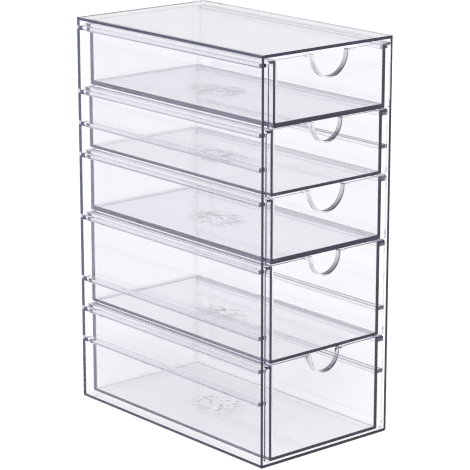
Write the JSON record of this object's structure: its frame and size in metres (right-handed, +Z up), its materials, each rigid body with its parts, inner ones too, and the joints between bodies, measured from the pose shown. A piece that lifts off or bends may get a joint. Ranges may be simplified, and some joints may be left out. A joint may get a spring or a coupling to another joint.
{
  "type": "drawer box",
  "caption": "Tall clear box, open at the front, with shallow and deep drawers that hang by their rims on side runners and pull out by half-round finger notches.",
  "frame": {"origin": "middle of the underside of the case, on the surface it stands on", "axes": "+Z up, -Y out of the open front, +X to the right for someone facing the front"},
  "size_m": [0.106, 0.1814, 0.255],
  "materials": {
    "case_acrylic": "clear colourless acrylic, polished faces and edges",
    "drawer_acrylic": "clear colourless acrylic, moulded, glossy"
  },
  "bodies": {
    "case": {"top_panel": "case_acrylic", "base_panel": "case_acrylic", "back_panel": "case_acrylic", "left_side_panel": "case_acrylic", "right_side_panel": "case_acrylic", "left_runner_1": "case_acrylic", "left_runner_2": "case_acrylic", "left_runner_3": "case_acrylic", "left_runner_4": "case_acrylic", "left_runner_5": "case_acrylic", "left_runner_6": "case_acrylic", "left_runner_7": "case_acrylic", "left_runner_8": "case_acrylic", "right_runner_1": "case_acrylic", "right_runner_2": "case_acrylic", "right_runner_3": "case_acrylic", "right_runner_4": "case_acrylic", "right_runner_5": "case_acrylic", "right_runner_6": "case_acrylic", "right_runner_7": "case_acrylic", "right_runner_8": "case_acrylic"},
    "top_drawer": {"top_drawer": "drawer_acrylic"},
    "second_drawer": {"second_drawer": "drawer_acrylic"},
    "third_drawer": {"third_drawer": "drawer_acrylic"},
    "fourth_drawer": {"fourth_drawer": "drawer_acrylic"},
    "bottom_drawer": {"bottom_drawer": "drawer_acrylic"}
  },
  "joints": [
    {"name": "top_drawer_slide", "type": "slide", "parent": "case", "child": "top_drawer", "axis": [0, -1, 0], "range_m": [-0.0025, 0.1378]},
    {"name": "second_drawer_slide", "type": "slide", "parent": "case", "child": "second_drawer", "axis": [0, -1, 0], "range_m": [-0.0006, 0.1397]},
    {"name": "third_drawer_slide", "type": "slide", "parent": "case", "child": "third_drawer", "axis": [0, -1, 0], "range_m": [-0.0008, 0.1395]},
    {"name": "fourth_drawer_slide", "type": "slide", "parent": "case", "child": "fourth_drawer", "axis": [0, -1, 0], "range_m": [-0.0003, 0.14]},
    {"name": "bottom_drawer_slide", "type": "slide", "parent": "case", "child": "bottom_drawer", "axis": [0, -1, 0], "range_m": [-0.0003, 0.14]}
  ]
}
